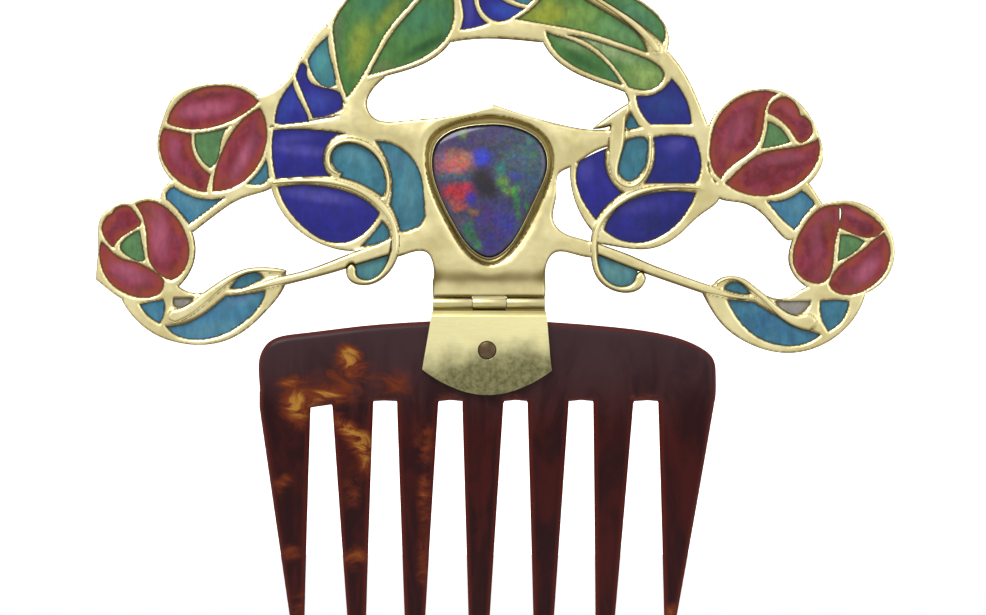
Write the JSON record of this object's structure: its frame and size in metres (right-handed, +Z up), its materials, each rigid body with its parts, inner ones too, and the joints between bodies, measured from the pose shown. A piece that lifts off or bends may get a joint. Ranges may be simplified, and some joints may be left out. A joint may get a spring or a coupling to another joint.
{
  "type": "decorative hair comb",
  "caption": "Ornamental hair comb: an openwork arch of enamel flowers and leaves round an opal, hinged to a long-toothed tortoiseshell comb.",
  "frame": {"origin": "on the comb's mid-plane at the level of the tooth roots, midway across the comb: how deep it goes into the hair", "axes": "+X across the comb, to the right as seen from the front; +Y to the back, towards the hair; +Z up, from the teeth to the ornament"},
  "size_m": [0.126, 0.0085, 0.1178],
  "materials": {
    "gold": "polished and slightly worn pale yellow gold",
    "tortoiseshell": "polished mottled tortoiseshell",
    "peg": "dark polished peg",
    "opal": "polished black opal with blue, green and red fire",
    "enamel_crimson": "translucent crimson enamel",
    "enamel_heart_green": "translucent soft green enamel",
    "enamel_leaf_green": "translucent leaf green enamel",
    "enamel_blue": "translucent deep blue enamel",
    "enamel_turquoise": "translucent turquoise enamel",
    "enamel_clear": "nearly colourless enamel"
  },
  "bodies": {
    "comb": {"tortoiseshell_comb": "tortoiseshell", "comb_saddle": "gold", "left_saddle_knuckle": "gold", "right_saddle_knuckle": "gold", "hinge_pin": "gold", "saddle_rivet": "peg"},
    "ornament": {"clear_crescent_enamel": "enamel_clear", "hoop_blue_enamel": "enamel_blue", "hoop_frame": "gold", "hoop_green_enamel": "enamel_turquoise", "hoop_turquoise_enamel": "enamel_turquoise", "left_branch_enamel": "enamel_turquoise", "left_branch_frame": "gold", "left_crescent_frame": "gold", "left_crescent_turquoise_enamel": "enamel_turquoise", "left_crescent_wire": "gold", "left_curl_wire": "gold", "left_leaf_enamel": "enamel_leaf_green", "left_leaf_frame": "gold", "left_lobe_blue_enamel": "enamel_blue", "left_lobe_frame": "gold", "left_lobe_turquoise_enamel": "enamel_turquoise", "left_scroll_wire": "gold", "left_stem": "gold", "lower_left_rosebud_heart": "enamel_heart_green", "lower_left_rosebud_petals": "enamel_crimson", "lower_left_rosebud_rim": "gold", "lower_right_leaf_enamel": "enamel_leaf_green", "lower_right_leaf_frame": "gold", "lower_right_rosebud_heart": "enamel_heart_green", "lower_right_rosebud_petals": "enamel_crimson", "lower_right_rosebud_rim": "gold", "opal": "opal", "opal_collet": "gold", "opal_plate": "gold", "opal_seat": "gold", "ornament_knuckle": "gold", "right_branch_enamel": "enamel_turquoise", "right_branch_frame": "gold", "right_crescent_frame": "gold", "right_crescent_turquoise_enamel": "enamel_turquoise", "right_crescent_wire": "gold", "right_leaf_midrib": "gold", "right_lobe_blue_enamel": "enamel_blue", "right_lobe_frame": "gold", "right_lobe_turquoise_enamel": "enamel_turquoise", "right_loop_wire": "gold", "right_scroll_wire": "gold", "right_stem": "gold", "scroll_enamel": "enamel_turquoise", "upper_left_rosebud_heart": "enamel_heart_green", "upper_left_rosebud_petals": "enamel_crimson", "upper_left_rosebud_rim": "gold", "upper_right_leaf_enamel": "enamel_leaf_green", "upper_right_leaf_frame": "gold", "upper_right_rosebud_heart": "enamel_heart_green", "upper_right_rosebud_petals": "enamel_crimson", "upper_right_rosebud_rim": "gold"}
  },
  "joints": [
    {"name": "ornament_hinge", "type": "hinge", "parent": "comb", "child": "ornament", "pos_m": [0, 0, 0.0154], "axis": [1, 0, 0], "range_deg": [-90, 90]}
  ]
}
